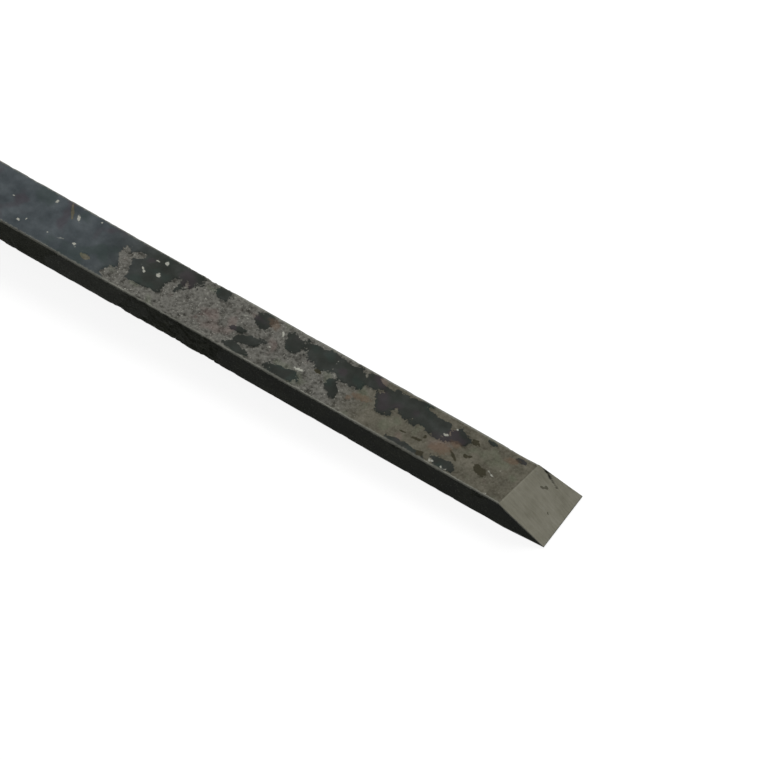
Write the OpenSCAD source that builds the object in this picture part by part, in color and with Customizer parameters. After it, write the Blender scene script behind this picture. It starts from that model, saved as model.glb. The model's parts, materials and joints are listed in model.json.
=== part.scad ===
// Grafting chisel: a heavy smith-made chisel with a through tang.
// The tool is drawn along X with the cutting edge at x = 0 and the butt at -X, its grip's axis
// on the X axis. It is then laid on the bench, where it rests on the cutting edge and on the
// fullest part of the grip.

/* [Blade] */
// Length of the blade from the cutting edge to the shoulders
blade_length = 200; // [150:5:260]
// Width of the bar
bar_width = 16; // [13:0.5:20]
// Thickness of the bar where the bevel starts
bar_thickness = 10; // [8:0.5:12]
// Thickness of the bar at the shoulders
shoulder_thickness = 9.2; // [8:0.2:11]
// Length of the ground bevel along the blade
bevel_length = 14; // [10:0.5:24]
// Width of the cutting edge, which spreads to the far side
edge_width = 19; // [17:0.5:24]
// How far the edge's near corner is drawn in from the bar's near side
edge_draw = 0.75; // [0.25:0.25:1.5]
// Length over which the edge spreads out of the bar
spread_length = 12; // [10:0.5:30]
// Height of the flat left along the cutting edge
edge_land = 0.3; // [0.2:0.1:0.6]
// Width of the chamfer that breaks the bar's long edges
edge_break = 0.5; // [0.2:0.1:1]
// Length of sharp edge between that chamfer and the working end
edge_stop = 1.5; // [0.5:0.5:6]

/* [Tang] */
// Width of the tang at the shoulders
tang_width = 10; // [8:0.5:12]
// Height of the tang at the shoulders
tang_height = 7.5; // [6:0.5:8]
// Diameter of the tang's riveted end
rivet_d = 6.5; // [5:0.25:7]
// Step from the tang's square end in to its round end, on each side
rivet_step = 0.4; // [0.2:0.1:0.5]
// Diameter of the riveted head, which fills the countersink
rivet_head_d = 11; // [9:0.5:14]
// Depth of the riveted head
rivet_head_depth = 2.2; // [1.5:0.1:3]
// Gap between the tang and each hole that it passes through
tang_clearance = 0.1; // [0.05:0.05:0.3]

/* [Bolster] */
// Size of the bolster collar across its flats
collar_flats = 24; // [22:0.5:30]
// Length of the bolster collar
collar_length = 5; // [3:0.5:8]
// Chamfer on the collar's front corners
collar_chamfer = 1.4; // [0.5:0.1:2]
// How far the leather washer behind the collar stands out past the ferrule
bolster_leather_overhang = 0; // [-1:0.25:1]
// Thickness of the leather washer behind the collar
bolster_leather_length = 3; // [2:0.5:5]

/* [Ferrule] */
// Outside diameter of the front ferrule
ferrule_d = 25; // [23:0.5:29]
// Wall of the front ferrule
ferrule_wall = 1.6; // [1:0.1:2.5]
// Length of the front ferrule
ferrule_length = 18; // [12:1:26]
// Share of the ferrule's wall that its filed front corner takes
ferrule_break_share = 0.25; // [0.1:0.05:0.5]
// Diameter of the ferrule pins
pin_d = 2; // [1.5:0.1:3]
// Length of the ferrule pins
pin_length = 5; // [3:0.5:5.5]

/* [Handle] */
// Length of the wooden handle
handle_length = 130; // [110:5:160]
// Diameter of the handle at its belly
belly_d = 34.5; // [32:0.5:40]
// Distance from the handle's front end to the belly
belly_place = 80; // [60:2:90]
// Diameter of the handle in front of the striking hoop
heel_d = 31; // [30:0.5:32]
// Depth of the two turned lines behind the ferrule
line_depth = 0.5; // [0.2:0.1:0.8]
// Distance between the two turned lines
line_pitch = 3.5; // [3:0.5:5]

/* [Striking end] */
// Outside diameter of the striking hoop
hoop_d = 32; // [31:0.5:34]
// Wall of the striking hoop
hoop_wall = 2.5; // [1.5:0.1:3.5]
// Length of the striking hoop
hoop_length = 10; // [7:0.5:14]
// Chamfer on the hoop's outer corners
hoop_chamfer = 0.7; // [0.3:0.1:1.2]
// How far the leather washer under the strike plate lies in from the plate's rim
butt_leather_inset = 0.5; // [0:0.25:1.5]
// Thickness of the leather washer under the strike plate
butt_leather_length = 2.5; // [1.5:0.5:4]
// Diameter of the strike plate
plate_d = 28; // [25:0.5:31]
// Thickness of the strike plate
plate_length = 5; // [4:0.5:8]
// Chamfer on the strike plate's struck rim
plate_chamfer = 1.2; // [0.5:0.1:2]

/* [Hidden] */
round_fn = 96;
pin_fn = 32;
// The collar is an octagon, turned half a side so that a flat faces down
collar_sides = 8;
collar_turn = 180 / collar_sides;
// Extra length of a cutter past the face that it cuts
over = 1;

// Heights of the blade's two long faces above the grip's axis
sole_z = -shoulder_thickness / 2;
ridge_z = sole_z + bar_thickness;
near_y = -bar_width / 2;
top_fall = atan((ridge_z + sole_z) / (blade_length - bevel_length));

// Stations along the tool, each measured back from the one in front of it
collar_x = -blade_length;
bolster_leather_x = collar_x - collar_length;
handle_x = bolster_leather_x - bolster_leather_length;
butt_leather_x = handle_x - handle_length;
plate_x = butt_leather_x - butt_leather_length;
butt_x = plate_x - plate_length;

// Square size of the tang where its round end starts
tang_end = rivet_d + 2 * rivet_step;

// Diameters of the two leather washers, each trimmed to the steel that it lies against
bolster_leather_d = ferrule_d + 2 * bolster_leather_overhang;
butt_leather_d = plate_d - 2 * butt_leather_inset;

// The wood's seats inside its two rings
nose_r = ferrule_d / 2 - ferrule_wall;
hoop_seat_r = hoop_d / 2 - hoop_wall;
hoop_front = handle_length - hoop_length;

// The grip's side as [distance from its front, radius], two cosine eases that meet at the belly
grip_steps = 14;
function ease(from, to, share) = from + (to - from) * (1 - cos(180 * share)) / 2;
function grip_run(d0, r0, d1, r1) =
    [for (i = [0:grip_steps]) [d0 + (d1 - d0) * i / grip_steps, ease(r0, r1, i / grip_steps)]];
grip_side = concat(
    grip_run(ferrule_length, ferrule_d / 2, belly_place, belly_d / 2),
    grip_run(belly_place, belly_d / 2, hoop_front, heel_d / 2));

// Everything round on the grip as [distance behind the cutting edge, radius]
touch_points = concat(
    [for (p = grip_side) [p[0] - handle_x, p[1]]],
    [[-collar_x, collar_flats / 2],
     [-bolster_leather_x, bolster_leather_d / 2],
     [-handle_x, ferrule_d / 2],
     [hoop_front - handle_x, hoop_d / 2 - hoop_chamfer],
     [hoop_front + hoop_chamfer - handle_x, hoop_d / 2]]);

// The tool tilts until the first of those points is level with the cutting edge
rest_tilt = max([for (p = touch_points) atan((p[1] + sole_z) / p[0])]);
bench_lift = -sole_z * cos(rest_tilt);
front_reach = (sole_z + edge_land) * sin(rest_tilt);
back_reach = butt_x * cos(rest_tilt) - (plate_d / 2 - plate_chamfer) * sin(rest_tilt);

// Lays the tool on the bench with the middle of its footprint at the origin
module on_bench() {
    translate([-(front_reach + back_reach) / 2, 0, bench_lift])
        rotate([0, rest_tilt, 0])
            children();
}

// A round solid along X, from its [distance towards +X, radius] outline
module turned(x, outline) {
    translate([x, 0, 0])
        rotate([0, 90, 0])
            rotate_extrude($fn = round_fn)
                polygon([for (p = outline) [p[1], p[0]]]);
}

// A cylinder along X that starts at x and runs towards -X
module bore_x(x, length, d) {
    translate([x - length, 0, 0])
        rotate([0, 90, 0])
            cylinder(h = length, d = d, $fn = round_fn);
}

// A wedge that tapers from a full size at front_x to a full size at back_x, both in one plane
module taper_2d(front_x, front_size, back_x, back_size) {
    polygon([[front_x, -front_size / 2], [front_x, front_size / 2],
        [back_x, back_size / 2], [back_x, -back_size / 2]]);
}

// The tang's tapered bar, larger all round by grow so that it also cuts its own holes
module tang_bar(grow = 0) {
    front_x = grow > 0 ? collar_x + over : collar_x;
    intersection() {
        translate([0, 0, -bar_thickness])
            linear_extrude(2 * bar_thickness)
                taper_2d(front_x, tang_width + 2 * grow,
                    butt_leather_x - grow, tang_end + 2 * grow);
        rotate([90, 0, 0])
            translate([0, 0, -bar_width])
                linear_extrude(2 * bar_width)
                    taper_2d(front_x, tang_height + 2 * grow,
                        butt_leather_x - grow, tang_end + 2 * grow);
    }
}

// The tang's round end and the head that is hammered into the countersink
module rivet_end(grow = 0) {
    bore_x(butt_leather_x + over, butt_leather_x - butt_x + over, rivet_d + 2 * grow);
    translate([butt_x, 0, 0])
        rotate([0, 90, 0])
            cylinder(h = rivet_head_depth, d1 = rivet_head_d, d2 = rivet_d, $fn = round_fn);
}

// The side of the bar: flat sole, tapered top and the single bevel
module bar_side() {
    polygon([[collar_x, sole_z], [0, sole_z], [0, sole_z + edge_land],
        [-bevel_length, ridge_z], [collar_x, -sole_z]]);
}

// The bar from above: near side drawn in and far side spread out towards the edge
module bar_plan() {
    corner_y = near_y + edge_draw;
    polygon([[collar_x, near_y], [-spread_length, near_y], [0, corner_y],
        [0, corner_y + edge_width], [-spread_length, -near_y], [collar_x, -near_y]]);
}

// Cuts the chamfer along one long edge: side is -1 near or 1 far, face is -1 sole or 1 top
module edge_cutter(side, face) {
    run = blade_length - max(bevel_length, spread_length) - edge_stop;
    size = 4 * edge_break;
    translate([collar_x, side * bar_width / 2, face * -sole_z])
        rotate([0, face > 0 ? -top_fall : 0, 0])
            rotate([-side * (face > 0 ? 45 : 135), 0, 0])
                translate([-over, -size / 2, -edge_break / sqrt(2)])
                    cube([run + over, size, size]);
}

module blade() {
    color("#3a3c3b") {
        difference() {
            intersection() {
                rotate([90, 0, 0])
                    translate([0, 0, -edge_width])
                        linear_extrude(2 * edge_width)
                            bar_side();
                translate([0, 0, -bar_thickness])
                    linear_extrude(2 * bar_thickness)
                        bar_plan();
            }
            for (side = [-1, 1], face = [-1, 1])
                edge_cutter(side, face);
        }
        tang_bar();
        rivet_end();
    }
}

module bolster_collar() {
    corner_r = collar_flats / 2 / cos(collar_turn);
    color("#4a4a48")
        difference() {
            intersection() {
                translate([collar_x - collar_length, 0, 0])
                    rotate([0, 90, 0])
                        rotate([0, 0, collar_turn])
                            cylinder(h = collar_length, r = corner_r, $fn = collar_sides);
                turned(collar_x, [[-collar_length - over, 0],
                    [-collar_length - over, corner_r + over],
                    [-collar_chamfer - over, corner_r + over],
                    [over, corner_r - collar_chamfer - over], [over, 0]]);
            }
            tang_bar(tang_clearance);
        }
}

module bolster_leather() {
    color("#8a5a34")
        difference() {
            bore_x(bolster_leather_x, bolster_leather_length, bolster_leather_d);
            tang_bar(tang_clearance);
        }
}

module front_ferrule() {
    break_size = ferrule_wall * ferrule_break_share;
    color("#5a5b59")
        difference() {
            turned(handle_x, [[-ferrule_length, nose_r],
                [-ferrule_length, ferrule_d / 2], [-break_size, ferrule_d / 2],
                [0, ferrule_d / 2 - break_size], [0, nose_r]]);
            pins(over);
        }
}

// Two brads on opposite sides, middle of the ferrule; reach makes them longer outwards
module pins(reach = 0) {
    for (side = [-1, 1])
        translate([handle_x - ferrule_length / 2, 0, 0])
            rotate([-side * 90, 0, 0])
                translate([0, 0, ferrule_d / 2 - pin_length])
                    cylinder(h = pin_length + reach, d = pin_d, $fn = pin_fn);
}

module ferrule_pins() {
    color("#8d8d88")
        intersection() {
            pins(over);
            bore_x(handle_x, ferrule_length, ferrule_d);
        }
}

module handle() {
    color("#b98a55")
        difference() {
            turned(handle_x, concat(
                [[0, 0], [0, nose_r], [-ferrule_length, nose_r]],
                [for (p = grip_side) [-p[0], p[1]]],
                [[-hoop_front, hoop_seat_r], [-handle_length, hoop_seat_r],
                 [-handle_length, 0]]));
            for (i = [0, 1])
                turned_line(handle_x, ferrule_length + line_pitch * (i + 1));
            tang_bar(tang_clearance);
            rivet_end(tang_clearance);
            pins(over);
        }
}

// A shallow vee turned into the grip at one distance from the handle's front
module turned_line(x, distance) {
    share = (distance - ferrule_length) / (belly_place - ferrule_length);
    r = ease(ferrule_d / 2, belly_d / 2, share);
    turned(x, [[-distance - line_depth, r + over], [-distance, r - line_depth],
        [-distance + line_depth, r + over]]);
}

module striking_hoop() {
    color("#4c4d4b")
        turned(handle_x, [[-handle_length, hoop_seat_r],
            [-handle_length, hoop_d / 2 - hoop_chamfer],
            [-handle_length + hoop_chamfer, hoop_d / 2],
            [-hoop_front - hoop_chamfer, hoop_d / 2],
            [-hoop_front, hoop_d / 2 - hoop_chamfer], [-hoop_front, hoop_seat_r]]);
}

module butt_leather() {
    color("#8a5a34")
        difference() {
            bore_x(butt_leather_x, butt_leather_length, butt_leather_d);
            rivet_end(tang_clearance);
        }
}

module strike_plate() {
    color("#55544f")
        difference() {
            turned(plate_x, [[-plate_length, 0], [-plate_length, plate_d / 2 - plate_chamfer],
                [-plate_length + plate_chamfer, plate_d / 2], [0, plate_d / 2], [0, 0]]);
            rivet_end();
        }
}

on_bench() blade();
on_bench() bolster_collar();
on_bench() bolster_leather();
on_bench() front_ferrule();
on_bench() ferrule_pins();
on_bench() handle();
on_bench() striking_hoop();
on_bench() butt_leather();
on_bench() strike_plate();
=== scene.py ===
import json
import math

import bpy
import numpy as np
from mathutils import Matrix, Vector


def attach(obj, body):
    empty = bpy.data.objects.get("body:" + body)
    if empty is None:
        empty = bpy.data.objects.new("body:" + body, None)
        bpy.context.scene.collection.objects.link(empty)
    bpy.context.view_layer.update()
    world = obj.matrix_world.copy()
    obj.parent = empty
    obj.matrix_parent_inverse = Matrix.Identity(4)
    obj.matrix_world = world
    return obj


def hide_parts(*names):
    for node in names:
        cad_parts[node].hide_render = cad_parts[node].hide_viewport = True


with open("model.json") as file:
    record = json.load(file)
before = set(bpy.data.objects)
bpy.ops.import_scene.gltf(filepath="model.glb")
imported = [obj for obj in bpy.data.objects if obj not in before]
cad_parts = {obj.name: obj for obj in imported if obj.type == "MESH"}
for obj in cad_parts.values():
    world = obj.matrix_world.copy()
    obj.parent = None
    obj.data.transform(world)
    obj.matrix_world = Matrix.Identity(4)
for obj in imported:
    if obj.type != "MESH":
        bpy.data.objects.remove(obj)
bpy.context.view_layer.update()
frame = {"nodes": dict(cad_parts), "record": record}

# %% [markdown]
# # A smith's grafting chisel
# A grafting chisel splits a tree stump and pries the cleft open for the new twigs. This one is a black
# forged bar with a single flat bevel, riveted through a turned ash grip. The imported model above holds
# every piece at its real size. This lesson gives each piece its skin: hammered, scaled, flaked, worn.
# All sizes below are millimetres in the tool's own lay: x runs along the tool with the cutting edge at
# zero and the butt at minus x, y runs across it, and z is up from the grip's axis.

MM = 0.001
SHARP_DEGREES = 55


def put_in_scene(name, data):
    """Makes an object that shows this mesh, camera or lamp, and links it to the scene."""
    thing = bpy.data.objects.new(name, data)
    bpy.context.scene.collection.objects.link(thing)
    return thing


print("packed pieces:", ", ".join(sorted(frame["nodes"])))

# %% [markdown]
# ## Where the tool lies
# The chisel lies on the bench, resting on its edge and on the belly of its grip, so its axis is tilted.
# Typing the tilt in again would be one more number to keep right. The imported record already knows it:
# its rack seat is the front face of the bolster collar, and that mount's axis points along the blade.

# %% From the tool's own lay to the bench
BLADE_LENGTH = 200.0
seat = next(m for m in frame["record"]["mounts"] if m["name"] == "rack_seat")
ALONG = np.array(seat["axis"], float)
ALONG /= np.linalg.norm(ALONG)
ACROSS = np.array([0.0, 1.0, 0.0])
UPWARD = np.cross(ALONG, ACROSS)
EDGE_POINT = np.array(seat["pos_m"]) + ALONG * BLADE_LENGTH * MM


def on_bench(points):
    """Bench place in metres: the edge point, plus x along the tool, y across it and z up."""
    lay = np.stack([ALONG, ACROSS, UPWARD])
    return EDGE_POINT + np.asarray(points, float) @ lay * MM


print("the tool is tilted by %.3f degrees" % math.degrees(math.asin(-ALONG[2])))

# %% [markdown]
# ## The camera
# The photograph looks down on the blade from its near side with a long lens, and crops the grip away.
# A long lens far off keeps the bar's long edges nearly parallel, as they are there. The camera is
# placed by the direction it looks from and by how far its aim is moved across and up the picture.

# %% Camera
CAMERA_AZIMUTH = math.radians(33.03)
CAMERA_ELEVATION = math.radians(55.93)
CAMERA_DISTANCE = 2.8196
AIM_ACROSS = 0.098045
AIM_UP = -0.039197
LENS = 500.0
FILM_WIDTH = 36.0

back = Vector((math.sin(CAMERA_AZIMUTH) * math.cos(CAMERA_ELEVATION),
               -math.cos(CAMERA_AZIMUTH) * math.cos(CAMERA_ELEVATION),
               math.sin(CAMERA_ELEVATION)))
right = Vector((0, 0, 1)).cross(back).normalized()
upright = back.cross(right)
camera = put_in_scene("camera", bpy.data.cameras.new("camera"))
camera.data.lens = LENS
camera.data.sensor_width = FILM_WIDTH
camera.location = right * AIM_ACROSS + upright * AIM_UP + back * CAMERA_DISTANCE
camera.rotation_mode = "QUATERNION"
camera.rotation_quaternion = Matrix((right, upright, back)).transposed().to_quaternion()
bpy.context.scene.camera = camera
print("camera at", [round(v, 3) for v in camera.location])

# %% [markdown]
# ## Shader sums written as Python
# A finish is mostly arithmetic on masks: scale where it has not flaked, rust where the two meet. Wiring
# Math nodes by hand hides that arithmetic. The class Wire wraps a socket, so that `1 - mask` or
# `mask * 0.5` adds the node for us. Every other kind of node comes from one method, `Look.add`. The
# tool's materials, the floor and the sky are all made with it.

# %% A socket that can be added and multiplied


class Wire:
    """What one socket gives. Sums with numbers or other wires become Math nodes."""

    def __init__(self, look, socket):
        self.look = look
        self.socket = socket

    def math(self, operation, first, second):
        return self.look.add("ShaderNodeMath", {"operation": operation}, {0: first, 1: second})

    def __add__(self, other):
        return self.math("ADD", self, other)

    def __sub__(self, other):
        return self.math("SUBTRACT", self, other)

    def __rsub__(self, other):
        return self.math("SUBTRACT", other, self)

    def __mul__(self, other):
        return self.math("MULTIPLY", self, other)

    __radd__ = __add__
    __rmul__ = __mul__


class Look:
    """The emptied node tree of a material or a world, and the one way to add a node to it."""

    def __init__(self, owner):
        owner.use_nodes = True
        self.tree = owner.node_tree
        self.tree.nodes.clear()

    def plug(self, socket, value):
        """Links a wire to the socket, or types a plain value into it."""
        if isinstance(value, Wire):
            self.tree.links.new(value.socket, socket)
        else:
            socket.default_value = value

    def add(self, kind, settings=None, values=None, out=0):
        """Adds a node: its settings first, then the values or links of its sockets."""
        node = self.tree.nodes.new(kind)
        for name, value in (settings or {}).items():
            if name == "stops":
                self.set_stops(node.color_ramp, value)
            else:
                setattr(node, name, value)
        for name, value in (values or {}).items():
            self.plug(node.inputs[name], value)
        return Wire(self, node.outputs[out]) if node.outputs else None

    def set_stops(self, ramp, stops):
        """Gives a colour ramp its stops. A new ramp has two, so the missing ones are added first."""
        while len(ramp.elements) < len(stops):
            ramp.elements.new(1.0)
        for element, (place, colour) in zip(ramp.elements, stops):
            element.position = place
            element.color = colour


# %% [markdown]
# Colours below are written as paints: red, green and blue from 0 to 255, as they look on the real
# tool. A shader works with light, so each paint is turned into light where it is used.
#
# A finish is a material with one Principled shader. Its patterns must lie along the tool and not along
# the bench, so the first thing it does is turn the Object coordinates back into the tool's own lay.

# %% Paints, and what the finishes share


def paint(red, green, blue_sheen):
    """A colour as the eye or a screen has it, 0 to 255, turned into the light that the shader needs."""
    def light(value):
        share = value / 255.0
        return share / 12.92 if share <= 0.04045 else ((share + 0.055) / 1.055) ** 2.4
    return (light(red), light(green), light(blue_sheen), 1.0)


class Finish(Look):
    """A material with one Principled shader, and the few kinds of node that its patterns need."""

    def __init__(self, name):
        self.material = bpy.data.materials.new(name)
        super().__init__(self.material)
        self.shader = self.tree.nodes.new("ShaderNodeBsdfPrincipled")
        self.add("ShaderNodeOutputMaterial", {}, {"Surface": Wire(self, self.shader.outputs[0])})

    def in_tool_mm(self):
        """Object coordinates turned back into the tool's own lay, in millimetres."""
        place = self.add("ShaderNodeTexCoord", out="Object")
        lay = Matrix((ALONG, ACROSS, UPWARD))
        shift = -(lay @ Vector(EDGE_POINT)) / MM
        return self.add("ShaderNodeMapping", {}, {
            "Vector": place, "Location": shift, "Rotation": lay.to_euler(), "Scale": (1 / MM,) * 3})

    def stretch(self, place, scale):
        """The same place, with each axis scaled: a small number draws a pattern out along that axis."""
        return self.add("ShaderNodeMapping", {}, {"Vector": place, "Scale": scale})

    def noise(self, place, cell, detail=2.0, rough=0.5):
        """Cloudy numbers from 0 to 1 with lumps about `cell` millimetres across."""
        return self.add("ShaderNodeTexNoise", {}, {
            "Vector": place, "Scale": 1.0 / cell, "Detail": detail, "Roughness": rough})

    def step(self, value, low, high):
        """0 below low, 1 above high, and a smooth rise between them."""
        return self.add("ShaderNodeMapRange", {"interpolation_type": "SMOOTHSTEP"}, {
            "Value": value, "From Min": low, "From Max": high})

    def worn(self, name):
        """A number that was worked out for each point of the mesh and stored under this name."""
        return self.add("ShaderNodeAttribute", {"attribute_name": name}, out="Fac")

    def ramp(self, value, *stops):
        """Blends from paint to paint as the value rises. A stop is a number and its paint."""
        lights = [(number, paint(*shade)) for number, *shade in stops]
        return self.add("ShaderNodeValToRGB", {"stops": lights}, {"Fac": value})

    def mix(self, share, under, over):
        """The colour or paint `under` where share is 0, and `over` where it is 1."""
        under, over = (side if isinstance(side, Wire) else paint(*side) for side in (under, over))
        return self.add("ShaderNodeMix", {"data_type": "RGBA"}, {0: share, 6: under, 7: over}, out=2)

    def bump(self, height, depth_mm):
        """A Bump node: the height is a number from 0 to 1, worth depth_mm."""
        return self.add("ShaderNodeBump", {}, {
            "Height": height, "Strength": 1.0, "Distance": depth_mm * MM})

    def done(self, **sockets):
        """Fills the named sockets, such as base_color or specular_ior_level, and gives the material."""
        for name, value in sockets.items():
            self.plug(self.shader.inputs[name.replace("_", " ").title().replace("Ior", "IOR")], value)
        return self.material


print("middle grey as light:", round(paint(128, 128, 128)[0], 3))

# %% [markdown]
# ## Skins from grids
# Every piece below is a sheet of points worked out at once: rows along the tool, columns around it.
# The sheet is closed around, and either ends in two points or rolls back through a hole, as a washer
# does. Faces must point outwards, so the helper measures the solid's volume and turns it over if the
# sign is wrong. It also hangs on each point the numbers that the finish will read.

# %% A closed skin from a grid of points


def quads_of(rows, columns, roll):
    """Four corner numbers for each face of a grid that is closed around, and lengthwise if roll."""
    index = np.arange(rows * columns).reshape(rows, columns)
    index = np.concatenate([index, index[:, :1]], 1)
    if roll:
        index = np.concatenate([index, index[:1]], 0)
    return np.stack([index[:-1, :-1], index[1:, :-1], index[1:, 1:], index[:-1, 1:]], -1).reshape(-1, 4)


def tips_of(rows, columns):
    """Three corner numbers for each face that joins the first and last ring to a middle point."""
    ring = np.arange(columns)
    after = np.roll(ring, -1)
    front = np.full(columns, rows * columns)
    last = (rows - 1) * columns
    return np.concatenate([np.stack([front, ring, after], -1),
                           np.stack([front + 1, last + after, last + ring], -1)])


def volume_of(points, faces):
    """Solid volume: the sum of the pyramids from the origin, each a sixth of a triple product."""
    corners = points[faces]
    total = 0.0
    for third in range(2, faces.shape[1]):
        total += (corners[:, 0] * np.cross(corners[:, third - 1], corners[:, third])).sum()
    return total / 6.0


def skin(name, grid, marks=None, roll=False):
    """Makes the mesh of one piece from its grid (rows, columns, 3), in the tool's own lay.

    A grid with one more axis in front is several shells of one piece, each closed by itself."""
    shells = grid if grid.ndim == 4 else grid[None]
    count, rows, columns = shells.shape[:3]
    points = shells.reshape(count, -1, 3)
    quads, tips = quads_of(rows, columns, roll), np.zeros((0, 3), int)
    if not roll:
        middles = [shells[:, 0].mean(1)[:, None], shells[:, -1].mean(1)[:, None]]
        points = np.concatenate([points, *middles], 1)
        tips = tips_of(rows, columns)
    first = np.arange(count)[:, None, None] * points.shape[1]
    quads, tips = (quads + first).reshape(-1, 4), (tips + first).reshape(-1, 3)
    points = points.reshape(-1, 3)
    volume = volume_of(points, quads) + volume_of(points, tips)
    if volume < 0:
        quads, tips = quads[:, ::-1], tips[:, ::-1]

    mesh = bpy.data.meshes.new(name)
    mesh.vertices.add(len(points))
    mesh.vertices.foreach_set("co", on_bench(points).ravel())
    corners = np.concatenate([quads.ravel(), tips.ravel()])
    sizes = np.concatenate([np.full(len(quads), 4), np.full(len(tips), 3)])
    mesh.loops.add(len(corners))
    mesh.loops.foreach_set("vertex_index", corners)
    mesh.polygons.add(len(sizes))
    mesh.polygons.foreach_set("loop_start", np.cumsum(sizes) - sizes)
    mesh.polygons.foreach_set("use_smooth", np.ones(len(sizes), bool))
    mesh.update(calc_edges=True)
    mesh.set_sharp_from_angle(angle=math.radians(SHARP_DEGREES))
    for mark, values in (marks or {}).items():
        flat = np.broadcast_to(values, (count, rows, columns)).reshape(count, -1)
        if not roll:
            ends = [flat[:, :columns].mean(1)[:, None], flat[:, -columns:].mean(1)[:, None]]
            flat = np.concatenate([flat, *ends], 1)
        layer = mesh.attributes.new(mark, "FLOAT", "POINT")
        layer.data.foreach_set("value", flat.ravel().astype(np.float32))
    triangles = 2 * len(quads) + len(tips)
    print("%s: %d triangles, %.2f cubic cm" % (name, triangles, abs(volume) / 1000))
    return put_in_scene(name, mesh)


def normals_of(grid, roll=False):
    """Unit vectors square to the sheet, from the steps to the next column and to the next row."""
    around = np.roll(grid, -1, 1) - np.roll(grid, 1, 1)
    if roll:
        along = np.roll(grid, -1, 0) - np.roll(grid, 1, 0)
    else:
        along = np.gradient(grid, axis=0)
    square = np.cross(around, along)
    length = np.linalg.norm(square, axis=-1, keepdims=True)
    return square / np.maximum(length, 1e-9)


def dressed(piece, material, slot, *stands_for):
    """Gives a piece its finish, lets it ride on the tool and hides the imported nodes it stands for."""
    piece.data.materials.append(material)
    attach(piece, "root")
    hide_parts(*stands_for)
    print("%s wears %s and stands for %s" % (piece.name, slot, ", ".join(stands_for)))


# %% [markdown]
# ## Numbers that look forged
# A hammer leaves broad shallow dents, scale breaks in ragged patches and rust eats small pits. All of
# them start from one thing: random heights on the corners of small cubes, blended inside each cube.
# Because it fills space, the pattern runs on over an arris from one face to the next. The seeds are
# fixed, so every run forges the same chisel.

# %% Random hills in space
HASH_SIZE = 4096
HASH_PRIMES = np.array([73856093, 19349663, 83492791])


def hills(points, cell, seed):
    """Heights 0 to 1: each cube corner has a random height, blended by 3t^2 - 2t^3 on each axis."""
    table = np.random.default_rng(seed).random(HASH_SIZE)
    scaled = points / cell
    base = np.floor(scaled).astype(np.int64)
    share = scaled - base
    share = share * share * (3 - 2 * share)
    total = np.zeros(points.shape[:-1])
    for corner in np.ndindex(2, 2, 2):
        key = np.bitwise_xor.reduce((base + corner) * HASH_PRIMES, axis=-1)
        weight = np.prod(np.where(corner, share, 1 - share), axis=-1)
        total += weight * table[key % HASH_SIZE]
    return total


def rugged(points, cell, seed, layers=3):
    """Layers of hills, each half as wide and half as high as the one before, scaled to 0 to 1."""
    total, height, full = 0.0, 1.0, 0.0
    for layer in range(layers):
        total = total + height * hills(points, cell / 2 ** layer, seed + layer)
        full += height
        height /= 2
    return total / full


def ease(value, low, high):
    """0 below low, 1 above high, 3t^2 - 2t^3 between."""
    t = np.clip((value - low) / (high - low), 0, 1)
    return t * t * (3 - 2 * t)


def peaks(points, cell, seed, low, high):
    """1 on the tops of rugged hills and 0 in their valleys, eased between two heights."""
    return ease(rugged(points, cell, seed, 2), low, high)


sample = hills(np.random.default_rng(1).random((99, 3)) * 50, 3, 7)
print("hills from %.2f to %.2f" % (sample.min(), sample.max()))

# %% [markdown]
# ## The blade and its tang
# The blade is one forging from the cutting edge to the riveted end. The bar is a rectangle with
# softened corners, and towards the edge its top falls away along the ground bevel. The grinding is not
# quite square: the bevel is longer on the near side, so its heel runs slantwise. A section carried
# along the tool gives this, if the rows of the grid lean over to follow that heel.
#
# Behind the shoulders the same section shrinks to the tang, and at the butt it flares to the rivet.

# %% The blade's sizes
BAR_HALF = 8.0
SOLE_Z = -4.6
TOP_AT_BEVEL = 5.4
TOP_AT_SHOULDER = 4.6
BEVEL_NEAR = 14.0
BEVEL_FAR = 11.7
EDGE_NEAR_Y = -7.25
EDGE_FAR_Y = 11.75
EDGE_LAND = 0.3
SPREAD_LENGTH = 12.0
CORNER_R = 0.45
BEVEL_CORNER_R = 0.12
BUTT_X = -345.5
TANG_END_X = -338.0
TANG_HALF = (5.0, 3.75)
TANG_END_HALF = 3.65
TANG_CORNER_R = 0.4
RIVET_R = 3.25
RIVET_HEAD_R = 5.5
RIVET_HEAD_DEPTH = 2.2
RIVET_SUNK = 0.3
RIVET_DOME = 0.25


def section_template(top, side, sole, corner):
    """The section's points as (core y, core z, out y, out z): a flat box from -1 to 1 grown by a radius.

    The point is the core's corner or edge, plus the corner radius times the outward direction."""
    parts = []
    for quarter, count in enumerate((top, side, sole, side)):
        slide, fixed = np.linspace(-1, 1, count), np.ones(count)
        core = [(slide, fixed), (fixed, -slide), (-slide, -fixed), (-fixed, slide)][quarter]
        out = [(0, 1), (1, 0), (0, -1), (-1, 0)][quarter]
        parts.append(np.stack([*core, out[0] * fixed, out[1] * fixed], -1))
        angle = np.radians(90 * quarter + 90 * np.arange(1, corner) / corner)
        here = np.ones((len(angle), 1)) * [(1, 1), (1, -1), (-1, -1), (-1, 1)][quarter]
        parts.append(np.column_stack([here, np.sin(angle), np.cos(angle)]))
    return np.concatenate(parts)


core_y, core_z, out_y, out_z = section_template(top=52, side=24, sole=30, corner=4).T
print("points around the bar:", len(core_y))

# %% [markdown]
# The rows come in four runs: bevel, bar, tang and rivet. The sides, the top and the corner radius of
# every row are worked out as arrays, and each run is then one sum. The step from the last row of the
# bar to the first of the tang makes the flat shoulders that carry the collar.

# %% The rows of the blade
BEVEL_ROWS = 56
BAR_ROWS = 560
TANG_ROWS = 24
FLARE_ROWS = 8
HEAD_ROWS = 14


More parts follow.
